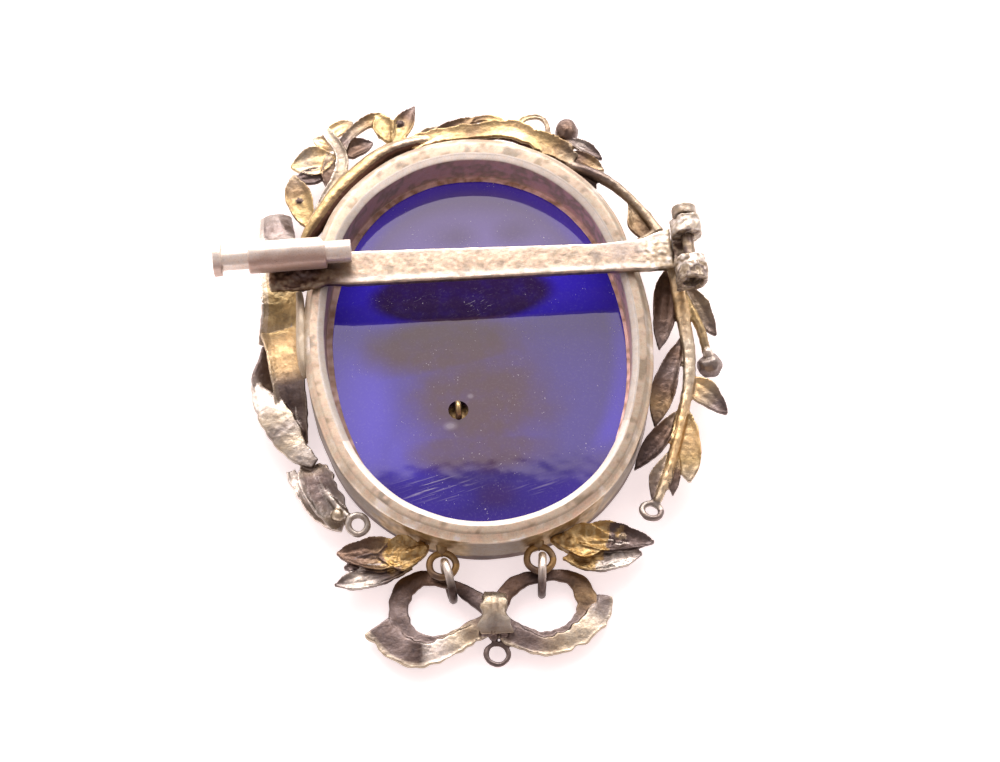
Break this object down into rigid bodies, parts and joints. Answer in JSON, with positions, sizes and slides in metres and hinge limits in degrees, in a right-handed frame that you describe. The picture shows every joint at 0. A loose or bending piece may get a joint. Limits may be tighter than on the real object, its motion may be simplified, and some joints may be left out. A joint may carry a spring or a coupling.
{
  "type": "pendant brooch",
  "caption": "Oval pendant brooch lying face down: deep bezel with glass, a leaf and ribbon wreath, a back bar with tube clasp and pin hinge, and a hanging bow.",
  "frame": {"origin": "on the resting plane, under the middle of the whole outline", "axes": "+Z from the front, which lies on the table, to the back with its clasp; +Y to the brooch's top, away from the bow; +X to the hinge's side"},
  "size_m": [0.042, 0.0522, 0.0079],
  "materials": {
    "silver": "tarnished silver, worn",
    "gilt": "worn gilding over darkened silver",
    "brass": "dull",
    "glass": "deep blue, smooth"
  },
  "bodies": {
    "brooch": {"bezel": "silver", "glass": "glass", "staple": "brass", "back_bar": "silver", "clasp_tube": "silver", "hinge_knuckles": "silver", "hinge_rivet": "silver", "left_ribbon": "gilt", "top_branch": "gilt", "right_branch": "gilt", "left_spray": "gilt", "right_spray": "gilt", "jump_ring_left": "silver", "jump_ring_right": "silver", "bow": "silver"},
    "slider": {"clasp_slider": "silver"}
  },
  "joints": [
    {"name": "clasp_slide", "type": "slide", "parent": "brooch", "child": "slider", "axis": [1, 0, 0], "range_m": [-0.0019, 0.002]}
  ]
}
